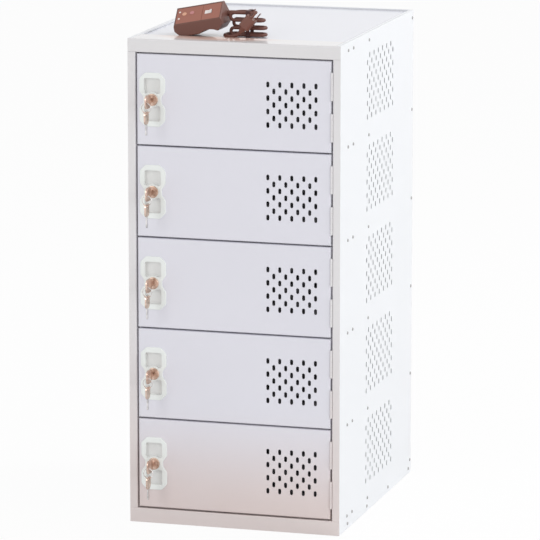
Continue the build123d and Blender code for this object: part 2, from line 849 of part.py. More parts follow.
with BuildPart() as strip_case:
    with BuildSketch(strip_end_plane):
        Polygon(
            (0, 0),
            (strip_width, 0),
            (strip_width, strip_back_height),
            (ridge[0] + strip_ridge_flat, ridge[1]),
            ridge,
            (0, strip_front_height),
            align=None,
        )
    extrude(amount=strip_length)
    long_edges = [e for e in edges() if abs(e.tangent_at(0.5).dot(along)) > 0.99]
    fillet(long_edges, strip_edge_round)
    for end, outward in ((0, -along), (strip_length, along)):
        bevel_middle = on_strip(end, 0, strip_front_height) + face_rise * (strip_face_width / 2)
        corner_cut = bevel_middle - (face_up + outward) * (strip_end_bevel / 2)
        with Locations(Plane(origin=corner_cut, x_dir=face_rise, z_dir=face_up + outward)):
            Box(
                2 * strip_face_width,
                4 * strip_end_bevel,
                strip_end_bevel,
                align=(Align.CENTER, Align.CENTER, Align.MIN),
                mode=Mode.SUBTRACT,
            )
        foot_middle = on_strip(end, strip_width / 2, 0) + (above - outward) * (strip_foot_bevel / 2)
        with Locations(Plane(origin=foot_middle, x_dir=behind, z_dir=outward - above)):
            Box(
                2 * strip_width,
                4 * strip_foot_bevel,
                strip_foot_bevel,
                align=(Align.CENTER, Align.CENTER, Align.MIN),
                mode=Mode.SUBTRACT,
            )
    arch_middle = on_strip(strip_arch_place, strip_width / 2, strip_arch_height - strip_arch_radius)
    with BuildSketch(Plane(origin=arch_middle, x_dir=along, z_dir=behind)):
        Circle(strip_arch_radius)
    extrude(amount=strip_width, both=True, mode=Mode.SUBTRACT)
    with BuildSketch(face_plane):
        with Locations(face_middle):
            RectangleRounded(
                face_size[0] + 2 * strip_clearance, face_size[1] + 2 * strip_clearance, strip_face_round
            )
    extrude(amount=-face_inset, mode=Mode.SUBTRACT)
    with BuildSketch(face_plane):
        with Locations((switch_place, face_middle[1])):
            Rectangle(switch_length + 2 * switch_well_margin, switch_width + switch_well_margin)
    extrude(amount=-switch_well_depth, mode=Mode.SUBTRACT)
    with BuildSketch(socket_plane):
        with GridLocations(strip_socket_pitch, 1, strip_socket_count, 1):
            RectangleRounded(
                strip_socket_width, back_face_length - 2 * strip_socket_margin, strip_socket_round
            )
    extrude(amount=-strip_socket_recess, mode=Mode.SUBTRACT)
    with BuildSketch(socket_plane.offset(-strip_socket_recess)):
        with GridLocations(strip_socket_pitch, 1, strip_socket_count, 1):
            for x in (-1, 1):
                with Locations((x * blade_spacing / 2, blade_above_middle)):
                    Rectangle(blade_thickness + 2 * strip_socket_play, blade_width + 2 * strip_socket_play)
            with Locations((0, blade_above_middle - ground_pin_below_blades)):
                Circle(ground_pin_radius + strip_socket_play)
    extrude(amount=-strip_socket_hole_depth, mode=Mode.SUBTRACT)
save(strip_case.part, "strip_case")

with BuildPart() as strip_face:
    with BuildSketch(face_plane.offset(-face_inset + strip_clearance / 2)):
        with Locations(face_middle):
            RectangleRounded(face_size[0], face_size[1], strip_face_round)
        with Locations((switch_place, face_middle[1])):
            Rectangle(
                switch_length + switch_well_margin, switch_width + switch_well_margin / 2, mode=Mode.SUBTRACT
            )
        with Locations(*lamp_places):
            Circle(lamp_radius, mode=Mode.SUBTRACT)
        with Locations(*button_places):
            Circle(button_radius, mode=Mode.SUBTRACT)
    extrude(amount=strip_face_sheet)
    with BuildSketch(face_plane.offset(strip_clearance / 2 - strip_clearance)):
        with Locations((strip_seam_place, face_middle[1])):
            Rectangle(strip_seam_width, strip_face_width)
    extrude(amount=-strip_seam_depth, mode=Mode.SUBTRACT)
save(strip_face.part, "strip_face")

with BuildPart() as strip_lamps:
    lens_foot = face_plane.offset(-face_inset + strip_clearance / 2)
    with BuildSketch(lens_foot):
        with Locations(*lamp_places):
            Circle(lamp_radius - strip_clearance)
        with Locations(*button_places):
            Circle(button_radius - strip_clearance)
    extrude(amount=strip_face_sheet + lamp_proud)
    lens_top = [e for e in edges() if (e.center() - face_plane.origin).dot(face_up) > 0.5]
    fillet(lens_top, lens_round)
save(strip_lamps.part, "strip_lamps")

switch_axis = face_plane.origin + along * switch_place + face_rise * face_middle[1] - face_up * face_inset
half_throw = radians(switch_throw / 2)
rocker_along = along * cos(half_throw) + face_up * sin(half_throw)
rocker_up = face_up * cos(half_throw) - along * sin(half_throw)
rocker_plane = Plane(origin=switch_axis, x_dir=rocker_along, z_dir=-face_rise)

with BuildPart() as strip_switch:
    half_rocker = switch_length / 2
    top_height = face_inset + switch_proud
    with BuildSketch(rocker_plane):
        Polygon(
            (-half_rocker, top_height - rocker_end_drop),
            (0, top_height - rocker_middle_drop),
            (half_rocker, top_height - rocker_end_drop),
            (half_rocker - rocker_taper, rocker_end_drop - switch_depth),
            (0, -switch_depth),
            (-half_rocker + rocker_taper, rocker_end_drop - switch_depth),
            align=None,
        )
    extrude(amount=switch_width / 2, both=True)
save(strip_switch.part, "strip_switch")


# Cord: places are given as a distance along the strip's level direction, depth behind and height
cord_radius = cord_diameter / 2
strip_reach = strip_length * cos(tilt)
hank_left = strip_reach + hank_from_strip
hank_depths = (hank_from_strip_front + hank_depth, hank_from_strip_front)
hank_radius = hank_depth / 2
first_run = finger_heights[0]


def on_top(place, across, height):
    """A point over the top panel, in the strip's level directions."""
    return strip_foot + level * place + behind * across + upward * height


# The lead rises with the strip's tilt and levels off where the hank's first run begins
lead_end = strip_reach + lead_from_strip
lead_bend = lead_end - lead_level_run
relief_end = lead_bend - lead_rise_run * cos(tilt)
relief_end_height = first_run - lead_rise_run * sin(tilt)
exit_point = on_top(relief_end, hank_depths[0], relief_end_height) - along * relief_length
case_end = (exit_point - strip_corner).dot(along) - strip_length
exit_socket = exit_point - along * case_end

with BuildPart() as cord_relief:
    relief_reach = relief_length + case_end
    with BuildSketch(Plane(origin=exit_socket + along * (seat_gap / 2), z_dir=along)):
        Circle(relief_base_radius)
    with BuildSketch(Plane(origin=exit_socket + along * relief_reach, z_dir=along)):
        Circle(cord_radius + relief_tip_wall)
    loft()
save(cord_relief.part, "cord_relief")


def sweep_cord(path_wire, start, heading):
    """Sweeps the cord's round section along the current path."""
    with BuildSketch(Plane(origin=start, z_dir=heading)) as section:
        Circle(cord_radius)
    sweep(section.sketch, path=path_wire)


lead_points = [
    on_top(relief_end, hank_depths[0], relief_end_height),
    on_top(lead_bend, hank_depths[0], first_run),
    on_top(lead_end, hank_depths[0], first_run),
]
lead_radius = 0.45 * lead_level_run / tan(tilt / 2)
with BuildPart() as cord_lead:
    with BuildLine() as lead_line:
        FilletPolyline(*lead_points, radius=[lead_radius])
    sweep_cord(lead_line.wire(), lead_points[0], along)
save(cord_lead.part, "cord_lead")

# The cord runs out along one side of each finger, turns level round its tip, comes back along the
# other side and drops to the next finger
last_finger = len(finger_heights) - 1
tail_points = [on_top(strip_reach + s, b, v) for s, b, v in tail_corners]
hank_path = []
for i, (height, reach) in enumerate(zip(finger_heights, finger_reaches)):
    out, home = hank_depths[i % 2], hank_depths[1 - i % 2]
    tip = strip_reach + reach
    starts = on_top(lead_end if i == 0 else hank_left, out, height)
    turns = on_top(tip, out, height)
    returns = on_top(tip, home, height)
    foremost = on_top(tip + hank_radius, (out + home) / 2, height)
    hank_path.append(Edge.make_line(starts, turns))
    hank_path.append(Edge.make_three_point_arc(turns, foremost, returns))
    if i == last_finger:
        tail_points.insert(0, returns)
        break
    ends = on_top(hank_left, home, height)
    next_height = finger_heights[i + 1]
    drop_radius = (height - next_height) / 2
    drop_middle = on_top(hank_left - drop_radius, home, height - drop_radius)
    hank_path.append(Edge.make_line(returns, ends))
    hank_path.append(Edge.make_three_point_arc(ends, drop_middle, on_top(hank_left, home, next_height)))

# The tail turns forward under the strip's raised end and climbs into the plug
lift, lean = radians(plug_lift), radians(plug_lean)
plug_heading = (level * cos(lean) + behind * sin(lean)) * cos(lift) + upward * sin(lift)
tail_points.append(tail_points[-1] + plug_heading * tail_last_run)


def bend_radii(points):
    """The radius at each inner point: as large as the two runs beside it allow."""
    radii = []
    for before, here, after in zip(points, points[1:], points[2:]):
        shorter = min((here - before).length, (after - here).length)
        angle = radians((here - before).get_angle(after - here))
        radii.append(0.45 * shorter / tan(angle / 2))
    return radii


tail_radii = bend_radii(tail_points)
with BuildLine() as tail_line:
    FilletPolyline(*tail_points, radius=tail_radii)
tail_wire = tail_line.wire()
hank_wire = Wire(hank_path + list(tail_wire.edges()))
with BuildPart() as cord_hank:
    sweep_cord(hank_wire, hank_path[0] @ 0, level)
save(cord_hank.part, "cord_hank")


def cord_report():
    """Prints the cord's length, its bends and the hank's least gap to itself."""
    length = lead_line.wire().length + hank_wire.length
    print(f"cord length {length:.0f} mm, tail bends {[round(r, 1) for r in tail_radii]}")
    samples = []
    travelled = 0.0
    for edge in hank_path + list(tail_wire.edges()):
        count = max(2, int(edge.length / 1.5))
        for i in range(count):
            samples.append((travelled + edge.length * i / count, edge @ (i / count)))
        travelled += edge.length
    gap = min(
        (p - q).length - cord_diameter
        for i, (a, p) in enumerate(samples)
        for b, q in samples[i + 1 :]
        if b - a > 4 * cord_diameter
    )
    print(f"hank's least gap to itself {gap:.2f} mm")
    for name, piece, wire in (
        ("lead", cord_lead, lead_line.wire()),
        ("hank", cord_hank, hank_wire),
    ):
        expected = pi * cord_radius**2 * wire.length
        print(f"{name} volume over section times length {piece.part.volume / expected:.4f}")


cord_report()

with BuildPart() as cord_tie:
    tie_reach = cord_radius + tie_clearance
    tie_low, tie_high = finger_heights[-1] - tie_reach, finger_heights[0] + tie_reach
    tie_front, tie_back = hank_depths[1] - tie_reach, hank_depths[0] + tie_reach
    tie_middle = on_top(
        strip_reach + tie_from_strip, (tie_front + tie_back) / 2, (tie_low + tie_high) / 2
    )
    with BuildSketch(Plane(origin=tie_middle, x_dir=behind, z_dir=level)):
        RectangleRounded(
            tie_back - tie_front + 2 * tie_sheet, tie_high - tie_low + 2 * tie_sheet, tie_round + tie_sheet
        )
        RectangleRounded(tie_back - tie_front, tie_high - tie_low, tie_round, mode=Mode.SUBTRACT)
    extrude(amount=tie_width)
save(cord_tie.part, "cord_tie")

plug_rear = tail_points[-1]
plug_side = (behind - plug_heading * behind.dot(plug_heading)).normalized()
with BuildPart() as cord_plug:
    with BuildSketch(Plane(origin=plug_rear, z_dir=plug_heading)):
        Circle(plug_neck_radius)
    body_plane = Plane(
        origin=plug_rear + plug_heading * plug_neck_length, x_dir=plug_side, z_dir=plug_heading
    )
    with BuildSketch(body_plane):
        Circle(plug_neck_end_radius)
    loft()
    with BuildSketch(body_plane):
        RectangleRounded(plug_thickness, plug_width, plug_round)
    extrude(amount=plug_length)
    with BuildSketch(body_plane.offset(plug_length)):
        for y in (-1, 1):
            with Locations((blade_above_middle, y * blade_spacing / 2)):
                Rectangle(blade_width, blade_thickness)
        with Locations((blade_above_middle - ground_pin_below_blades, 0)):
            Circle(ground_pin_radius)
    extrude(amount=blade_length)
save(cord_plug.part, "cord_plug")
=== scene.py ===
# %% [markdown]
# # A laptop charging locker
#
# The object is a narrow steel cabinet with five keyed doors. An outlet strip lies on its top with
# its cord folded up beside it. The CAD model gives every rigid piece its true shape, so this
# script has three jobs: look at it from the right place, light it softly, and give each piece
# the finish of the real one. It also draws the soft things again, because a cord swept through
# straight runs and arcs never hangs like a real one.
#
# Loading the frame first gives us the bodies that move and the nodes that carry the shapes.

# %% Load the imported model
import math

import bpy
from mathutils import Matrix, Vector


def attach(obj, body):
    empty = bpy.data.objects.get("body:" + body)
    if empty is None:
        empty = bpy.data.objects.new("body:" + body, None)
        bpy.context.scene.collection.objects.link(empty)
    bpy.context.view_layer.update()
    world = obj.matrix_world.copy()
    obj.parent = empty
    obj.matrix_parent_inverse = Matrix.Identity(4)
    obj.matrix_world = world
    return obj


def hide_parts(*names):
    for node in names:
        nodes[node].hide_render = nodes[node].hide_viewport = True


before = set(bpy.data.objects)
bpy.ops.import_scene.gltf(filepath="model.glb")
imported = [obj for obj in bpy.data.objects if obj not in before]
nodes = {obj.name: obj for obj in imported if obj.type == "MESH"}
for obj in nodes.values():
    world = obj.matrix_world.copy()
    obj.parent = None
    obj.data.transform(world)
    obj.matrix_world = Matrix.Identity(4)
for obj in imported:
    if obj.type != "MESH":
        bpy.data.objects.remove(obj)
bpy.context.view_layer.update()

# %% [markdown]
# ## The camera
#
# The picture was taken a little to the right of the cabinet and above it, from far away with a
# long lens, so its vertical edges hardly lean together. The place, the two turns and the length
# of the lens were solved from the cabinet's own corners in the picture. It is easiest to build
# the camera's matrix from its three directions, because a camera looks along its own -Z.

# %% Camera
camera_place = Vector((2.24053, -7.71814, 1.99546))
camera_yaw = math.radians(-16.2406)
camera_pitch = math.radians(-10.9436)
lens_length, film_width = 286.703, 36
farthest_seen = 60
look = Vector(
    (
        math.sin(camera_yaw) * math.cos(camera_pitch),
        math.cos(camera_yaw) * math.cos(camera_pitch),
        math.sin(camera_pitch),
    )
)
across = Vector((math.cos(camera_yaw), -math.sin(camera_yaw), 0))
upright = across.cross(look)

camera_data = bpy.data.cameras.new("camera")
camera_data.lens = lens_length
camera_data.sensor_width = film_width
camera_data.clip_end = farthest_seen
camera = bpy.data.objects.new("camera", camera_data)
bpy.context.scene.collection.objects.link(camera)
camera.matrix_world = Matrix.Translation(camera_place) @ Matrix(
    (across, upright, -look)
).transposed().to_4x4()
bpy.context.scene.camera = camera
print(f"camera {camera_place.length:.2f} m from the cabinet's foot")

# %% [markdown]
# ## The strip's cord
#
# The cord leaves the raised end of the strip, is folded into four long fingers that a band holds,
# and its tail comes round under the strip's raised end to the plug in front. A cord is one piece
# of something, so it is drawn as one spline. A NURBS spline of order 3 runs smoothly between its
# points and cuts inside each corner, which is what a springy cord does. The turns of the hank
# come from a loop: each fold has four points on the corners of half an octagon, and each run has
# a point near both ends, as far from the fold's first corner as the corners are from each other.
# Evenly spaced points are what keeps a bend of such a spline as wide as it should be.
#
# Distances are counted along the strip, back from its front edge, and up from the top panel.

# %% Directions over the top panel
MM = 0.001
strip_foot = Vector((-0.130, -0.204, 0.9111))
level, behind, upward = Vector((1, 0, 0)), Vector((0, 1, 0)), Vector((0, 0, 1))


def over_top(place, back, height):
    """A point given along the strip, back from its front edge and up, all in millimetres."""
    return strip_foot + (level * place + behind * back + upward * height) * MM


print("distances start at", tuple(round(metres, 4) for metres in strip_foot))

# %% The hank's measurements
cord_diameter = 6.2
cord_start, lead_corner = (100.10257, 50.0, 43.10905), (109.92216, 50.0, 45.0)
strip_reach = 91.32216
hank_from_strip = 13.2
hank_left = strip_reach + hank_from_strip
hank_sides = (50.0, 29.3)
finger_heights = (45.0, 31.0, 17.0, 4.5)
finger_reaches = (41.0, 57.0, 60.5, 60.5)
half_step = math.radians(22.5)
fold_angles = [half_step * odd for odd in (1, 3, 5, 7)]
corner_share = 1 / math.cos(half_step)
before_fold = math.tan(half_step)
tip_radius = (hank_sides[0] - hank_sides[1]) / 2
print(f"the hank has {len(finger_heights)} fingers, the longest {max(finger_reaches)} mm out")

# %% The cord's points
cord_points = [over_top(*cord_start), over_top(*lead_corner)]
last_drop = 0
for i, (height, reach) in enumerate(zip(finger_heights, finger_reaches)):
    out, home = hank_sides[i % 2], hank_sides[1 - i % 2]
    tip = strip_reach + reach
    if i > 0:
        cord_points.append(over_top(hank_left + last_drop * before_fold, out, height))
    cord_points.append(over_top(tip - tip_radius * before_fold, out, height))
    tip_corner = tip_radius * corner_share
    for a in fold_angles:
        back = (out + home) / 2 + math.copysign(tip_corner, out - home) * math.cos(a)
        cord_points.append(over_top(tip + tip_corner * math.sin(a), back, height))
    cord_points.append(over_top(tip - tip_radius * before_fold, home, height))
    if height == finger_heights[-1]:
        break
    last_drop = (height - finger_heights[i + 1]) / 2
    cord_points.append(over_top(hank_left + last_drop * before_fold, home, height))
    drop_corner = last_drop * corner_share
    for a in fold_angles:
        above = height - last_drop + drop_corner * math.cos(a)
        cord_points.append(over_top(hank_left - drop_corner * math.sin(a), home, above))
print(f"the lead and the hank have {len(cord_points)} points")

# %% The tail, from the last finger to the plug
tail = [(11.5, 50.0, 4.5), (1.5, 45.5, 4.2), (-3.3, 34.5, 3.9), (-3.5, 21.5, 3.6)]
tail += [(2.0, 11.8, 3.4), (12.0, 8.4, 3.4), (20.5, 8.5, 4.4), (26.7, 8.8, 7.6)]
cord_points += [over_top(strip_reach + s, b, h) for s, b, h in tail]
plug_lift, plug_lean = math.radians(50), math.radians(6)
plug_way = (level * math.cos(plug_lean) + behind * math.sin(plug_lean)) * math.cos(plug_lift)
plug_way += upward * math.sin(plug_lift)
last_run = 5.5
cord_points.append(cord_points[-1] + plug_way * last_run * MM)
print(f"the whole cord has {len(cord_points)} points")

# %% Draw the cord
cord_curve = bpy.data.curves.new("outlet_cord", "CURVE")
cord_curve.dimensions = "3D"
# The bevel is in millimetres, and a radius of MM on every point scales it to metres.
cord_curve.bevel_depth = cord_diameter / 2
cord_curve.bevel_resolution = 6
cord_curve.use_fill_caps = True
cord_curve.resolution_u = 10
spline = cord_curve.splines.new("NURBS")
spline.points.add(len(cord_points) - 1)
for point, place in zip(spline.points, cord_points):
    point.co = (*place, 1)
    point.radius = MM
spline.order_u = 3
spline.use_endpoint_u = True
outlet_cord = bpy.data.objects.new("outlet_cord", cord_curve)
bpy.context.scene.collection.objects.link(outlet_cord)
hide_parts("cord_lead", "cord_hank")
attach(outlet_cord, "cabinet")
print(f"cord drawn, {cord_diameter} mm thick")

# %% [markdown]
# ## Shared effects
#
# Some effects belong to more than one finish: the fine waviness of a powder coat, the hair lines
# of brushed metal, the faint grain of moulded plastic and rubber. Each is a node group with named
# inputs and outputs. A group only makes colours, values and normals; the shader itself stays in
# each material, where its plain numbers are set straight on its sockets. As every finish joins
# its group to its shader in the same way, one helper makes such a material.

# %% Helpers for node trees
def new_group(name, inputs, outputs):
    """An empty shader node group. inputs: (name, kind, default). outputs: (name, kind)."""
    group = bpy.data.node_groups.new(name, "ShaderNodeTree")
    for socket_name, kind, default in inputs:
        socket = group.interface.new_socket(socket_name, in_out="INPUT", socket_type=kind)
        socket.default_value = default
    for socket_name, kind in outputs:
        group.interface.new_socket(socket_name, in_out="OUTPUT", socket_type=kind)
    return group, group.nodes.new("NodeGroupInput"), group.nodes.new("NodeGroupOutput")


def node(tree, kind, settings=None, **values):
    """A node of the tree, with settings as attributes and values on its named sockets."""
    made = tree.nodes.new(kind)
    for key, value in (settings or {}).items():
        setattr(made, key, value)
    for key, value in values.items():
        made.inputs[key.replace("_", " ")].default_value = value
    return made


def join(tree, source, target):
    tree.links.new(source, target)


def pass_colour(tree, source, target):
    """Gives a socket the colour that another socket has now, whether linked or plain."""
    if source.links:
        join(tree, source.links[0].from_socket, target)
    else:
        target.default_value = source.default_value


def effect_material(name, group, **values):
    """A material whose colour, roughness and normal come from a group with these values."""
    made = bpy.data.materials.new(name)
    made.use_nodes = True
    tree = made.node_tree
    effect = node(tree, "ShaderNodeGroup", {"node_tree": group, "name": "effect"}, **values)
    shader = tree.nodes["Principled BSDF"]
    for given, taken in (("Colour", "Base Color"), ("Roughness", "Roughness"), ("Normal", "Normal")):
        join(tree, effect.outputs[given], shader.inputs[taken])
    return made


VALUE, COLOUR, VECTOR = "NodeSocketFloat", "NodeSocketColor", "NodeSocketVector"
print("helpers ready")

# %% [markdown]
# ### Powder coat
#
# Baked powder paint is satin, and never quite flat: seen close it has the skin of an orange, at
# about two millimetres. Over a whole door it also varies a little in tone. Two noises do this,
# one small for the bump and one broad for the tone, both laid out in the object's own metres so
# that every panel has the same grain.

# %% Powder coat group
least_tone, cloud_roughness = 0.985, 0.08
coat_group, coat_in, coat_out = new_group(
    "powder_coat",
    [
        ("Colour", COLOUR, (0.8, 0.8, 0.8, 1)),
        ("Tone Change", VALUE, 0.03),
        ("Skin Size", VALUE, 450.0),
        ("Skin Depth", VALUE, 0.06),
        ("Least Roughness", VALUE, 0.42),
    ],
    [("Colour", COLOUR), ("Roughness", VALUE), ("Normal", VECTOR)],
)
coat_place = node(coat_group, "ShaderNodeTexCoord")
coat_skin = node(coat_group, "ShaderNodeTexNoise", Detail=2.0, Roughness=0.5)
join(coat_group, coat_place.outputs["Object"], coat_skin.inputs["Vector"])
join(coat_group, coat_in.outputs["Skin Size"], coat_skin.inputs["Scale"])
coat_bump = node(coat_group, "ShaderNodeBump", Distance=0.0004)
join(coat_group, coat_in.outputs["Skin Depth"], coat_bump.inputs["Strength"])
join(coat_group, coat_skin.outputs["Fac"], coat_bump.inputs["Height"])
coat_cloud = node(coat_group, "ShaderNodeTexNoise", Scale=5.0, Detail=4.0, Roughness=0.55)
join(coat_group, coat_place.outputs["Object"], coat_cloud.inputs["Vector"])
coat_swing = node(coat_group, "ShaderNodeMath", {"operation": "MULTIPLY_ADD"})
join(coat_group, coat_cloud.outputs["Fac"], coat_swing.inputs[0])
join(coat_group, coat_in.outputs["Tone Change"], coat_swing.inputs[1])
coat_swing.inputs[2].default_value = least_tone
coat_tone = node(coat_group, "ShaderNodeVectorMath", {"operation": "SCALE"})
join(coat_group, coat_in.outputs["Colour"], coat_tone.inputs[0])
join(coat_group, coat_swing.outputs[0], coat_tone.inputs["Scale"])
coat_rough = node(coat_group, "ShaderNodeMath", {"operation": "MULTIPLY_ADD"})
join(coat_group, coat_cloud.outputs["Fac"], coat_rough.inputs[0])
coat_rough.inputs[1].default_value = cloud_roughness
join(coat_group, coat_in.outputs["Least Roughness"], coat_rough.inputs[2])
join(coat_group, coat_tone.outputs[0], coat_out.inputs["Colour"])
join(coat_group, coat_rough.outputs[0], coat_out.inputs["Roughness"])
join(coat_group, coat_bump.outputs[0], coat_out.inputs["Normal"])
print("powder coat group made")


# %% A painted steel material
specular_level = 0.35


def painted_steel(name, colour, roughness=0.42):
    """A powder-coated sheet in one colour."""
    made = effect_material(name, coat_group, Colour=(*colour, 1), Least_Roughness=roughness)
    shader = made.node_tree.nodes["Principled BSDF"]
    shader.inputs["Specular IOR Level"].default_value = specular_level
    return made


def wear(material, *names):
    """Puts a material on CAD nodes."""
    for name in names:
        slots = nodes[name].data.materials
        if len(slots) == 0:
            slots.append(material)
        for i in range(len(slots)):
            slots[i] = material


doors = range(1, 6)
print(f"{len(doors)} doors to paint")

# %% [markdown]
# ### Painted light that comes with place
#
# Two kinds of painted light go into the coat. Near the floor a painted warm reflection darkens it,
# and in the finger pockets of the pull plates, where little light falls, a painted shade makes it
# duller. Both are a second colour that fades in along one direction of the object, so one group
# serves them: it compares a distance along that direction with two limits and mixes the colours
# between them. The object's own coordinates keep the painted light on the piece when a door opens.

# %% Placed tint group
cloud_share, least_share = 0.3, 0.85
painted_light_group, tint_in, tint_out = new_group(
    "placed_painted_light",
    [
        ("Colour", COLOUR, (0.8, 0.8, 0.8, 1)),
        ("Tint", COLOUR, (0.8, 0.7, 0.68, 1)),
        ("Direction", VECTOR, (0.0, 0.0, 1.0)),
        ("None At", VALUE, 0.3),
        ("Full At", VALUE, 0.0),
    ],
    [("Colour", COLOUR)],
)
tint_place = node(painted_light_group, "ShaderNodeTexCoord")
tint_along = node(painted_light_group, "ShaderNodeVectorMath", {"operation": "DOT_PRODUCT"})
join(painted_light_group, tint_place.outputs["Object"], tint_along.inputs[0])
join(painted_light_group, tint_in.outputs["Direction"], tint_along.inputs[1])
tint_cloud = node(painted_light_group, "ShaderNodeTexNoise", Scale=9.0, Detail=3.0)
join(painted_light_group, tint_place.outputs["Object"], tint_cloud.inputs["Vector"])
tint_range = node(painted_light_group, "ShaderNodeMapRange", {"interpolation_type": "SMOOTHSTEP"})
join(painted_light_group, tint_along.outputs["Value"], tint_range.inputs["Value"])
join(painted_light_group, tint_in.outputs["None At"], tint_range.inputs["From Min"])
join(painted_light_group, tint_in.outputs["Full At"], tint_range.inputs["From Max"])
tint_broken = node(painted_light_group, "ShaderNodeMath", {"operation": "MULTIPLY_ADD", "use_clamp": True})
join(painted_light_group, tint_cloud.outputs["Fac"], tint_broken.inputs[0])
tint_broken.inputs[1].default_value = cloud_share
tint_broken.inputs[2].default_value = least_share
tint_share = node(painted_light_group, "ShaderNodeMath", {"operation": "MULTIPLY"})
join(painted_light_group, tint_range.outputs[0], tint_share.inputs[0])
join(painted_light_group, tint_broken.outputs[0], tint_share.inputs[1])
tint_mix = node(painted_light_group, "ShaderNodeMix", {"data_type": "RGBA"})
join(painted_light_group, tint_share.outputs[0], tint_mix.inputs[0])
join(painted_light_group, tint_in.outputs["Colour"], tint_mix.inputs[6])
join(painted_light_group, tint_in.outputs["Tint"], tint_mix.inputs[7])
join(painted_light_group, tint_mix.outputs[2], tint_out.inputs["Colour"])


def add_painted_light(material, tint, direction, none_at, full_at):
    """Puts painted light into a coat: a second colour that fades in along a direction of the object.
    """
    tree = material.node_tree
    coat_colour = tree.nodes["effect"].inputs["Colour"]
    placed = node(
        tree,
        "ShaderNodeGroup",
        {"node_tree": painted_light_group},
        Tint=(*tint, 1),
        Direction=direction,
        None_At=none_at,
        Full_At=full_at,
    )
    pass_colour(tree, coat_colour, placed.inputs["Colour"])
    join(tree, placed.outputs["Colour"], coat_colour)


print("tint group made")

# %% [markdown]
# ### Paint of the cabinet
#
# The doors are a pale lavender grey, the sides a cooler white and the frame slightly warm. The
# pull plates are brighter, with a hint of green. All are the same kind of coat, so each is one
# call with its own colour. The hinges wear the frame's paint. The frame and the top have a clear
# lacquer over their paint: looked at along its surface, it mirrors the outlet strip that lies on
# it.

# %% Cabinet paints
door_paint = painted_steel("door_paint", (0.78, 0.775, 0.84))
side_paint = painted_steel("side_paint", (0.83, 0.845, 0.87))
top_paint = painted_steel("top_paint", (0.70, 0.71, 0.79), roughness=0.3)
# The shelves are a painted shade: a darker grey for the dim inside of the cabinet.
inside_painted_shade = painted_steel("inside_painted_shade", (0.55, 0.54, 0.55))
frame_paint = painted_steel("frame_paint", (0.78, 0.765, 0.775))
plate_paint = painted_steel("plate_paint", (0.87, 0.90, 0.88), roughness=0.3)
# The rivets are a painted shade: dark grey for the small shadows around their heads.
rivet_paint = painted_steel("rivet_paint", (0.42, 0.41, 0.41), roughness=0.35)
# Painted warm reflection: the doors and the frame turn darker and warmer towards the floor.
add_painted_light(door_paint, (0.74, 0.64, 0.62), upward, none_at=0.24, full_at=0.02)
add_painted_light(frame_paint, (0.74, 0.66, 0.645), upward, none_at=0.45, full_at=0.0)
# Painted shade: the pull plates' finger pockets turn duller deeper into the plate.
add_painted_light(plate_paint, (0.80, 0.80, 0.79), behind, none_at=-0.2675, full_at=-0.2615)
for lacquered in (top_paint, frame_paint):
    lacquer = lacquered.node_tree.nodes["Principled BSDF"].inputs
    lacquer["Coat Weight"].default_value = 0.7
    lacquer["Coat Roughness"].default_value = 0.07
    lacquer["Coat IOR"].default_value = 1.6
print("paints made")

# %% [markdown]
# ### The painted reflection of the strip
#
# A dark red thing on white lacquer sends warm light onto the panel around it: light that has met
# the strip and its cord falls on the panel in front. Here that light is painted into the coat as a
# reddish painted reflection. It is strongest before the strip and gone a hand's breadth away, so
# its mask is a soft ellipse, which is the distance from a middle after each direction has been
# divided by its reach.

# %% Painted reflection before the strip
cast_middle, cast_reach = (-0.045, -0.215, 0.9125), (0.135, 0.0515, 0.012)
cast_ends_at, cast_full_at = 1.0, 0.4
painted_reflection_colour = (0.84, 0.58, 0.50, 1)


def painted_strip_reflection(material):
    """Paints a reddish reflection into a coat, in a soft ellipse around the strip and its cord."""
    tree = material.node_tree
    coat_colour = tree.nodes["effect"].inputs["Colour"]
    place = node(tree, "ShaderNodeTexCoord")
    away = node(tree, "ShaderNodeVectorMath", {"operation": "SUBTRACT"})
    join(tree, place.outputs["Object"], away.inputs[0])
    away.inputs[1].default_value = cast_middle
    scaled = node(tree, "ShaderNodeVectorMath", {"operation": "DIVIDE"})
    join(tree, away.outputs[0], scaled.inputs[0])
    scaled.inputs[1].default_value = cast_reach
    far = node(tree, "ShaderNodeVectorMath", {"operation": "LENGTH"})
    join(tree, scaled.outputs[0], far.inputs[0])
    share = node(tree, "ShaderNodeMapRange", {"interpolation_type": "SMOOTHSTEP"})
    join(tree, far.outputs["Value"], share.inputs["Value"])
    share.inputs["From Min"].default_value = cast_ends_at
    share.inputs["From Max"].default_value = cast_full_at
    mixed = node(tree, "ShaderNodeMix", {"data_type": "RGBA"})
    join(tree, share.outputs[0], mixed.inputs[0])
    pass_colour(tree, coat_colour, mixed.inputs[6])
    mixed.inputs[7].default_value = painted_reflection_colour
    join(tree, mixed.outputs[2], coat_colour)


painted_strip_reflection(frame_paint)
painted_strip_reflection(top_paint)
print("warm cast added")

# %% Paint the pieces
wear(door_paint, *[f"door_{i}" for i in doors])
wear(side_paint, "side_panel_left", "side_panel_right", "bottom_pan", "back_panel")
wear(top_paint, "top_panel")
wear(inside_painted_shade, "shelves")
wear(frame_paint, "front_frame", "frame_hinge_leaves", "hinge_pins")
wear(frame_paint, *[f"door_hinges_{i}" for i in doors])
wear(plate_paint, *[f"lock_plate_{i}" for i in doors])
wear(rivet_paint, "rivets")
print("painted the cabinet")

# %% [markdown]
# ### Metals
#
# The locks and their keys are an old bronze, rubbed bright where hands reach and dark in between.
# The cams and the spare keys are bare steel or nickel with fine brushing. Both come from one
# group: a noise stretched along one direction for the hair lines, and a broad one that mixes two
# tones.

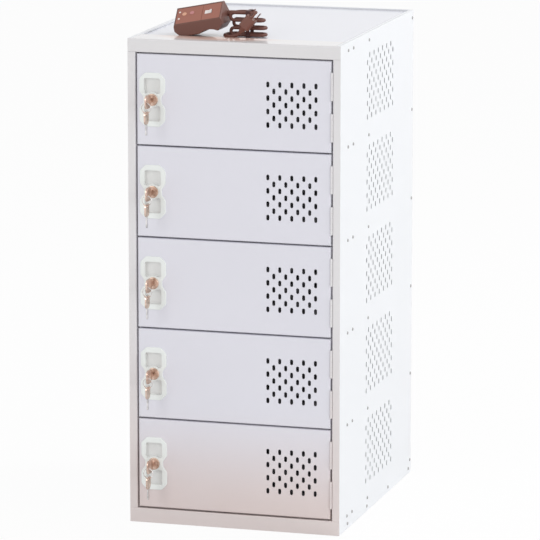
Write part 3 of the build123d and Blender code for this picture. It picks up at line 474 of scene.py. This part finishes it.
# %% Brushed metal group
dark_patches_end, bright_patches_begin = 0.35, 0.65
line_roughness = 0.12
metal_group, metal_in, metal_out = new_group(
    "rubbed_metal",
    [
        ("Bright", COLOUR, (0.7, 0.7, 0.7, 1)),
        ("Dark", COLOUR, (0.3, 0.3, 0.3, 1)),
        ("Patch Size", VALUE, 90.0),
        ("Least Roughness", VALUE, 0.3),
    ],
    [("Colour", COLOUR), ("Roughness", VALUE), ("Normal", VECTOR)],
)
metal_place = node(metal_group, "ShaderNodeTexCoord")
metal_stretch = node(metal_group, "ShaderNodeMapping", Scale=(1.0, 1.0, 0.12))
metal_lines = node(metal_group, "ShaderNodeTexNoise", Scale=2600.0, Detail=2.0)
join(metal_group, metal_place.outputs["Object"], metal_stretch.inputs["Vector"])
join(metal_group, metal_stretch.outputs[0], metal_lines.inputs["Vector"])
metal_patch = node(metal_group, "ShaderNodeTexNoise", Detail=3.0)
join(metal_group, metal_place.outputs["Object"], metal_patch.inputs["Vector"])
join(metal_group, metal_in.outputs["Patch Size"], metal_patch.inputs["Scale"])
metal_sharpen = node(metal_group, "ShaderNodeMapRange")
metal_sharpen.inputs["From Min"].default_value = dark_patches_end
metal_sharpen.inputs["From Max"].default_value = bright_patches_begin
join(metal_group, metal_patch.outputs["Fac"], metal_sharpen.inputs["Value"])
metal_mix = node(metal_group, "ShaderNodeMix", {"data_type": "RGBA"})
join(metal_group, metal_sharpen.outputs[0], metal_mix.inputs[0])
join(metal_group, metal_in.outputs["Dark"], metal_mix.inputs[6])
join(metal_group, metal_in.outputs["Bright"], metal_mix.inputs[7])
metal_rough = node(metal_group, "ShaderNodeMath", {"operation": "MULTIPLY_ADD"})
join(metal_group, metal_lines.outputs["Fac"], metal_rough.inputs[0])
metal_rough.inputs[1].default_value = line_roughness
join(metal_group, metal_in.outputs["Least Roughness"], metal_rough.inputs[2])
metal_bump = node(metal_group, "ShaderNodeBump", Strength=0.12, Distance=0.0002)
join(metal_group, metal_lines.outputs["Fac"], metal_bump.inputs["Height"])
join(metal_group, metal_mix.outputs[2], metal_out.inputs["Colour"])
join(metal_group, metal_rough.outputs[0], metal_out.inputs["Roughness"])
join(metal_group, metal_bump.outputs[0], metal_out.inputs["Normal"])


def bare_metal(name, roughness, **tones):
    """A metal that is rubbed bright in patches. tones: its Bright and Dark colours."""
    made = effect_material(name, metal_group, Least_Roughness=roughness, **tones)
    made.node_tree.nodes["Principled BSDF"].inputs["Metallic"].default_value = 1.0
    return made


print("rubbed metal group made")

# %% Metal finishes
bronze = bare_metal("lock_bronze", 0.28, Bright=(0.84, 0.64, 0.53, 1), Dark=(0.42, 0.28, 0.21, 1))
key_bronze = bare_metal("key_bronze", 0.25, Bright=(0.84, 0.64, 0.54, 1), Dark=(0.50, 0.33, 0.26, 1))
cam_steel = bare_metal("cam_steel", 0.35, Bright=(0.72, 0.72, 0.74, 1), Dark=(0.55, 0.55, 0.57, 1))
wear(bronze, *[f"lock_barrel_{i}" for i in doors], *[f"lock_plug_{i}" for i in doors])
wear(key_bronze, *[f"key_{i}" for i in doors])
wear(cam_steel, *[f"lock_cam_{i}" for i in doors])
print("metals done")

# %% [markdown]
# ### The spare keys
#
# A spare key and its split ring are one piece of the model, but the ring and the blade are
# silvery and the bow between them is bronze like the lock. The doors are evenly spaced, so
# wrapping the height by that spacing gives every door the same scale, from its own lock down.
# A ramp with hard steps along it then sets where the bow begins and ends.

# %% Spare key finish
door_spacing, lowest_lock, spare_tip = 0.1718, 0.1144, -0.0616
bow_begins, bow_ends = 0.344, 0.724
silvery, bow_bronze = (0.88, 0.86, 0.85, 1), (0.84, 0.64, 0.54, 1)
spare_metal = bare_metal("spare_key_metal", 0.2)
spare_tree = spare_metal.node_tree
spare_place = node(spare_tree, "ShaderNodeTexCoord")
spare_split = node(spare_tree, "ShaderNodeSeparateXYZ")
join(spare_tree, spare_place.outputs["Object"], spare_split.inputs[0])
spare_shift = node(spare_tree, "ShaderNodeMath", {"operation": "SUBTRACT"})
join(spare_tree, spare_split.outputs["Z"], spare_shift.inputs[0])
spare_shift.inputs[1].default_value = lowest_lock
spare_wrap = node(spare_tree, "ShaderNodeMath", {"operation": "WRAP"})
join(spare_tree, spare_shift.outputs[0], spare_wrap.inputs[0])
spare_wrap.inputs[1].default_value = door_spacing / 2
spare_wrap.inputs[2].default_value = -door_spacing / 2
spare_range = node(spare_tree, "ShaderNodeMapRange")
spare_range.inputs["From Min"].default_value = spare_tip
spare_range.inputs["From Max"].default_value = 0.0
join(spare_tree, spare_wrap.outputs[0], spare_range.inputs["Value"])
spare_ramp = node(spare_tree, "ShaderNodeValToRGB")
spare_ramp.color_ramp.interpolation = "CONSTANT"
spare_ramp.color_ramp.elements[0].color = silvery
spare_ramp.color_ramp.elements[1].position = bow_begins
spare_ramp.color_ramp.elements[1].color = bow_bronze
spare_ramp.color_ramp.elements.new(bow_ends).color = silvery
join(spare_tree, spare_range.outputs[0], spare_ramp.inputs[0])
spare_dark = node(spare_tree, "ShaderNodeVectorMath", {"operation": "SCALE"}, Scale=0.66)
join(spare_tree, spare_ramp.outputs["Color"], spare_dark.inputs[0])
spare_effect = spare_tree.nodes["effect"]
join(spare_tree, spare_ramp.outputs["Color"], spare_effect.inputs["Bright"])
join(spare_tree, spare_dark.outputs[0], spare_effect.inputs["Dark"])
wear(spare_metal, *[f"key_ring_{i}" for i in doors])
print("spare keys done")

# %% [markdown]
# ### Plastics and rubber
#
# The outlet strip is a dark maroon moulding with a soft shine, and its cord a rubber of the same
# colour. Mouldings have a very fine grain from the steel of their mould. One group makes it, and
# shifts the tone a little, so that a big face isn't one flat colour.

# %% Moulded grain group
least_grain_tone, broad_roughness = 0.94, 0.15
grain_group, grain_in, grain_out = new_group(
    "moulded_grain",
    [
        ("Colour", COLOUR, (0.1, 0.1, 0.1, 1)),
        ("Grain Size", VALUE, 1500.0),
        ("Grain Depth", VALUE, 0.1),
        ("Tone Change", VALUE, 0.12),
        ("Least Roughness", VALUE, 0.35),
    ],
    [("Colour", COLOUR), ("Roughness", VALUE), ("Normal", VECTOR)],
)
grain_place = node(grain_group, "ShaderNodeTexCoord")
grain_fine = node(grain_group, "ShaderNodeTexNoise", Detail=1.0)
join(grain_group, grain_place.outputs["Object"], grain_fine.inputs["Vector"])
join(grain_group, grain_in.outputs["Grain Size"], grain_fine.inputs["Scale"])
grain_bump = node(grain_group, "ShaderNodeBump", Distance=0.0003)
join(grain_group, grain_in.outputs["Grain Depth"], grain_bump.inputs["Strength"])
join(grain_group, grain_fine.outputs["Fac"], grain_bump.inputs["Height"])
grain_broad = node(grain_group, "ShaderNodeTexNoise", Scale=30.0, Detail=3.0)
join(grain_group, grain_place.outputs["Object"], grain_broad.inputs["Vector"])
grain_swing = node(grain_group, "ShaderNodeMath", {"operation": "MULTIPLY_ADD"})
join(grain_group, grain_broad.outputs["Fac"], grain_swing.inputs[0])
join(grain_group, grain_in.outputs["Tone Change"], grain_swing.inputs[1])
grain_swing.inputs[2].default_value = least_grain_tone
grain_tone = node(grain_group, "ShaderNodeVectorMath", {"operation": "SCALE"})
join(grain_group, grain_in.outputs["Colour"], grain_tone.inputs[0])
join(grain_group, grain_swing.outputs[0], grain_tone.inputs["Scale"])
grain_rough = node(grain_group, "ShaderNodeMath", {"operation": "MULTIPLY_ADD"})
join(grain_group, grain_broad.outputs["Fac"], grain_rough.inputs[0])
grain_rough.inputs[1].default_value = broad_roughness
join(grain_group, grain_in.outputs["Least Roughness"], grain_rough.inputs[2])
join(grain_group, grain_tone.outputs[0], grain_out.inputs["Colour"])
join(grain_group, grain_rough.outputs[0], grain_out.inputs["Roughness"])
join(grain_group, grain_bump.outputs[0], grain_out.inputs["Normal"])


def moulding(name, colour, roughness, grain=0.1):
    """A moulded plastic or rubber in one colour."""
    values = {"Colour": (*colour, 1), "Grain Depth": grain}
    made = effect_material(name, grain_group, Least_Roughness=roughness, **values)
    shader = made.node_tree.nodes["Principled BSDF"]
    shader.inputs["Specular IOR Level"].default_value = specular_level
    return made


print("moulded grain group made")

# %% [markdown]
# ### The strip's finishes
#
# The strip's small lenses and buttons are one piece of the model but not one colour: the two
# lenses are milky, one button is tan and the other rose. They stand side by side, so a colour
# ramp with hard steps along the cabinet's width gives each its own.

# %% Strip, cord and grommet finishes
strip_plastic = moulding("strip_plastic", (0.155, 0.064, 0.048), roughness=0.36)
# The face is a lighter copy of the case's maroon: a painted highlight for its top, which faces the
# light.
strip_face_plastic = moulding("strip_face_plastic", (0.37, 0.145, 0.105), roughness=0.42)
switch_plastic = moulding("switch_plastic", (0.85, 0.8, 0.78), roughness=0.25)
lens_plastic = moulding("lens_plastic", (0.86, 0.78, 0.74), roughness=0.15)
cord_rubber = moulding("cord_rubber", (0.15, 0.058, 0.044), roughness=0.42, grain=0.2)
plug_plastic = moulding("plug_plastic", (0.19, 0.078, 0.058), roughness=0.36)
tie_plastic = moulding("tie_plastic", (0.08, 0.03, 0.03), roughness=0.45)
grommet_rubber = moulding("grommet_rubber", (0.03, 0.03, 0.032), roughness=0.55, grain=0.3)
print("plastics and rubbers made")

# %% Lens colours
lens_row_begins, lens_row_ends = -0.135, -0.095
tan_begins, rose_begins = 0.27, 0.57
milky, tan, rose = (0.86, 0.78, 0.74, 1), (0.74, 0.40, 0.27, 1), (0.56, 0.24, 0.24, 1)
lens_tree = lens_plastic.node_tree
lens_place = node(lens_tree, "ShaderNodeTexCoord")
lens_split = node(lens_tree, "ShaderNodeSeparateXYZ")
join(lens_tree, lens_place.outputs["Object"], lens_split.inputs[0])
lens_range = node(lens_tree, "ShaderNodeMapRange")
lens_range.inputs["From Min"].default_value = lens_row_begins
lens_range.inputs["From Max"].default_value = lens_row_ends
join(lens_tree, lens_split.outputs["X"], lens_range.inputs["Value"])
lens_ramp = node(lens_tree, "ShaderNodeValToRGB")
lens_ramp.color_ramp.interpolation = "CONSTANT"
lens_ramp.color_ramp.elements[0].color = milky
lens_ramp.color_ramp.elements[1].position = tan_begins
lens_ramp.color_ramp.elements[1].color = tan
lens_ramp.color_ramp.elements.new(rose_begins).color = rose
join(lens_tree, lens_range.outputs[0], lens_ramp.inputs[0])
join(lens_tree, lens_ramp.outputs["Color"], lens_tree.nodes["effect"].inputs["Colour"])
print("lens colours set")

# %% Put the plastics on
wear(strip_plastic, "strip_case")
wear(strip_face_plastic, "strip_face")
wear(switch_plastic, "strip_switch")
wear(lens_plastic, "strip_lamps")
wear(plug_plastic, "cord_plug", "cord_relief")
wear(tie_plastic, "cord_tie")
wear(grommet_rubber, "cable_grommets")
outlet_cord.data.materials.append(cord_rubber)
print("plastics done")

# %% [markdown]
# ## Floor and light
#
# The cabinet stands on nothing but white. The floor is a pale plane that keeps the shadow, and
# the camera sees it nearly white. The world is white too, but only to the camera and in
# reflections; what it sheds on the object is softer, so the pale paint doesn't burn out.

# %% Floor
floor_half, floor_drop, seen_white = 9, 0.0005, 0.94
floor_corners = [(x * floor_half, y * floor_half, 0) for x, y in ((-1, -1), (1, -1), (1, 1), (-1, 1))]
floor_mesh = bpy.data.meshes.new("floor")
floor_mesh.from_pydata(floor_corners, [], [(0, 1, 2, 3)])
floor = bpy.data.objects.new("floor", floor_mesh)
floor.location.z = -floor_drop
bpy.context.scene.collection.objects.link(floor)
floor_material = bpy.data.materials.new("pale_floor")
floor_material.use_nodes = True
floor_tree = floor_material.node_tree
floor_shader = floor_tree.nodes["Principled BSDF"]
floor_shader.inputs["Base Color"].default_value = (0.85, 0.85, 0.85, 1)
floor_shader.inputs["Roughness"].default_value = 0.8
floor_glow = node(floor_tree, "ShaderNodeEmission", Strength=1.0)
floor_ray = node(floor_tree, "ShaderNodeLightPath")
floor_share = node(floor_tree, "ShaderNodeMath", {"operation": "MULTIPLY"})
join(floor_tree, floor_ray.outputs["Is Camera Ray"], floor_share.inputs[0])
floor_share.inputs[1].default_value = seen_white
floor_mix = node(floor_tree, "ShaderNodeMixShader")
join(floor_tree, floor_share.outputs[0], floor_mix.inputs[0])
join(floor_tree, floor_shader.outputs[0], floor_mix.inputs[1])
join(floor_tree, floor_glow.outputs[0], floor_mix.inputs[2])
join(floor_tree, floor_mix.outputs[0], floor_tree.nodes["Material Output"].inputs["Surface"])
floor_mesh.materials.append(floor_material)
print("floor laid")

# %% World
world = bpy.data.worlds.new("white_room")
bpy.context.scene.world = world
world.use_nodes = True
sky = world.node_tree
sky.nodes.clear()
sky_ray = node(sky, "ShaderNodeLightPath")
sky_sum = node(sky, "ShaderNodeMath", {"operation": "ADD"})
sky_any = node(sky, "ShaderNodeMath", {"operation": "ADD", "use_clamp": True})
join(sky, sky_ray.outputs["Is Camera Ray"], sky_sum.inputs[0])
join(sky, sky_ray.outputs["Is Glossy Ray"], sky_sum.inputs[1])
join(sky, sky_sum.outputs[0], sky_any.inputs[0])
join(sky, sky_ray.outputs["Is Transmission Ray"], sky_any.inputs[1])
sky_soft = node(sky, "ShaderNodeBackground", Strength=0.62)
sky_soft.inputs["Color"].default_value = (1, 1, 1, 1)
sky_white = node(sky, "ShaderNodeBackground", Strength=1.0)
sky_white.inputs["Color"].default_value = (1, 1, 1, 1)
sky_mix = node(sky, "ShaderNodeMixShader")
sky_end = node(sky, "ShaderNodeOutputWorld")
join(sky, sky_any.outputs[0], sky_mix.inputs[0])
join(sky, sky_soft.outputs[0], sky_mix.inputs[1])
join(sky, sky_white.outputs[0], sky_mix.inputs[2])
join(sky, sky_mix.outputs[0], sky_end.inputs["Surface"])
print("world set")


# %% Lamps
def soft_lamp(name, place, aim, size, energy):
    """A square area lamp that points at a place."""
    lamp = bpy.data.lights.new(name, "AREA")
    lamp.size = size
    lamp.energy = energy
    lamp_object = bpy.data.objects.new(name, lamp)
    lamp_object.location = place
    lamp_object.rotation_euler = (Vector(aim) - Vector(place)).to_track_quat("-Z", "Y").to_euler()
    bpy.context.scene.collection.objects.link(lamp_object)


soft_lamp("back_right_lamp", place=(2.6, 1.6, 3.6), aim=(0, 0, 0.7), size=0.9, energy=62)
soft_lamp("right_fill", place=(4.2, -1.6, 2.0), aim=(0, 0, 0.6), size=2.2, energy=44)
soft_lamp("front_fill", place=(-1.8, -4.2, 2.2), aim=(0, 0, 0.45), size=2.0, energy=40)
bpy.context.scene.view_settings.view_transform = "Standard"
print("lit")

# %% Finish
print("finished")
